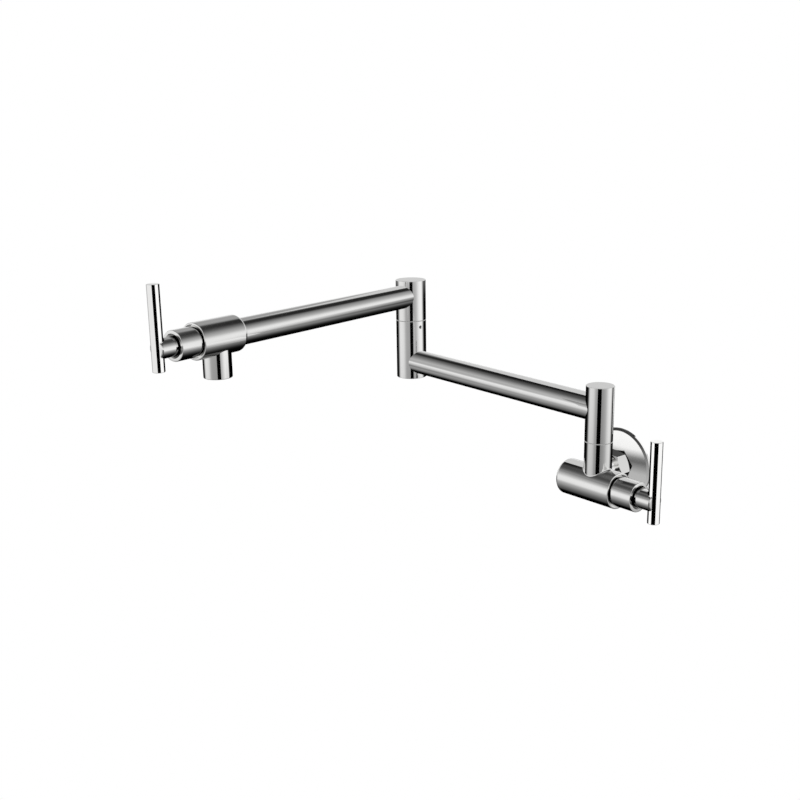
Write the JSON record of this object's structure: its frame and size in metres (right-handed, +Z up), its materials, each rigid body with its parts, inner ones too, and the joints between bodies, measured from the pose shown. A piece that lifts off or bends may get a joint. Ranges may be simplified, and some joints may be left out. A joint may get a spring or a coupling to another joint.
{
  "type": "wall mounted pot filler",
  "caption": "Wall mounted pot filler: two chromed arms on sealed swivels fold against the wall, with a quarter-turn T-bar valve at the wall and at the spout.",
  "frame": {"origin": "on the wall plane, on the axis of the inlet nipple, at the centre of the flange's back", "axes": "+Z up, +Y into the wall along the inlet nipple, -Y out into the room, +X along the wall past the inlet handle"},
  "size_m": [0.3468, 0.3975, 0.2272],
  "materials": {
    "chrome": "polished with a faint satin grain",
    "brass": "turned",
    "steel": "satin",
    "rubber": "matt",
    "foam": "closed-cell foam",
    "ceramic": "lapped alumina",
    "slide_plastic": "moulded"
  },
  "bodies": {
    "wall_side": {"wall_flange": "chrome", "flange_gasket": "foam", "inlet_nipple": "brass", "union_washer": "rubber", "inlet_tailpiece": "chrome", "union_nut": "chrome", "inlet_valve_body": "chrome", "inlet_seat_seal": "rubber", "inlet_fixed_disc": "ceramic", "inlet_cartridge_housing": "brass", "inlet_collar": "chrome", "base_spigot": "brass", "base_spigot_seals": "rubber", "base_slide_washer": "slide_plastic"},
    "inlet_handle": {"inlet_stem": "brass", "inlet_moving_disc": "ceramic", "inlet_stem_seals": "rubber", "inlet_stem_clip": "steel", "inlet_handle_hub": "chrome", "inlet_handle_bar": "chrome", "inlet_bar_screw": "steel", "inlet_hub_screw": "steel"},
    "lower_arm": {"base_swivel_barrel": "chrome", "base_set_screw": "steel", "lower_arm_tube": "chrome", "elbow_lower_barrel": "chrome", "elbow_set_screw": "steel", "elbow_slide_washer": "slide_plastic"},
    "upper_arm": {"elbow_upper_barrel": "chrome", "elbow_spigot": "brass", "elbow_spigot_seals": "rubber", "upper_arm_tube": "chrome", "outlet_valve_body": "chrome", "outlet_seat_seal": "rubber", "outlet_fixed_disc": "ceramic", "outlet_cartridge_housing": "brass", "outlet_collar": "chrome", "aerator_housing": "chrome", "aerator_insert": "slide_plastic", "aerator_washer": "rubber"},
    "outlet_handle": {"outlet_stem": "brass", "outlet_moving_disc": "ceramic", "outlet_stem_seals": "rubber", "outlet_stem_clip": "steel", "outlet_handle_hub": "chrome", "outlet_handle_bar": "chrome", "outlet_bar_screw": "steel", "outlet_hub_screw": "steel"}
  },
  "joints": [
    {"name": "base_swivel", "type": "hinge", "parent": "wall_side", "child": "lower_arm", "pos_m": [0.0236, -0.061, 0.0406], "axis": [0, 0, 1], "range_deg": [-6, 190]},
    {"name": "elbow_swivel", "type": "hinge", "parent": "lower_arm", "child": "upper_arm", "pos_m": [-0.24024, -0.05179, 0.1133], "axis": [0, 0, 1], "continuous": true},
    {"name": "inlet_valve_turn", "type": "hinge", "parent": "wall_side", "child": "inlet_handle", "pos_m": [0.0236, -0.061, 0], "axis": [1, 0, 0], "range_deg": [0, 90]},
    {"name": "outlet_valve_turn", "type": "hinge", "parent": "upper_arm", "child": "outlet_handle", "pos_m": [-0.18753, -0.31557, 0.1386], "axis": [0.1959, -0.9806, 0], "range_deg": [0, 90]}
  ]
}
